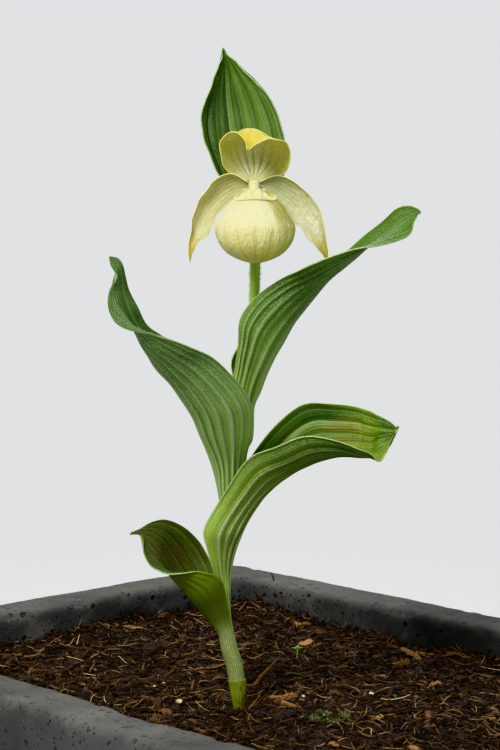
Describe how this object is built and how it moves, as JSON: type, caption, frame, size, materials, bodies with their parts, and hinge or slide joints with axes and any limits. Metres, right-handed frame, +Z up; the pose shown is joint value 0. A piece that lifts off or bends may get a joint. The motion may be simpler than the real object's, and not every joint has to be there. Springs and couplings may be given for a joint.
{
  "type": "cypripedium orchid in a stone trough",
  "caption": "Slipper orchid in flower with pleated leaves, a pale yellow inflated lip and a green bract, planted in bark mix in a rectangular cast stone trough.",
  "frame": {"origin": "middle of the trough's flat underside", "axes": "+Z up, +X along the trough's long side; the flower faces between -Y and +X, 47 degrees from -Y"},
  "size_m": [0.3994, 0.2876, 0.4311],
  "materials": {
    "trough_stone": "matte",
    "bark_mix": "matte",
    "stem_tissue": "satin",
    "leaf_tissue": "satin",
    "bract_tissue": "satin",
    "petal_tissue": "satin",
    "pouch_tissue": "satin",
    "column_tissue": "satin"
  },
  "bodies": {
    "root": {"trough": "trough_stone", "growing_mix": "bark_mix", "base_sheath": "stem_tissue", "stem": "stem_tissue", "leaf_1": "leaf_tissue", "leaf_2": "leaf_tissue", "leaf_3": "leaf_tissue", "leaf_4": "leaf_tissue", "bract": "bract_tissue", "dorsal_sepal": "petal_tissue", "petal_left": "petal_tissue", "petal_right": "petal_tissue", "synsepal": "petal_tissue", "ovary": "stem_tissue", "pouch": "pouch_tissue", "column": "column_tissue"}
  },
  "joints": []
}
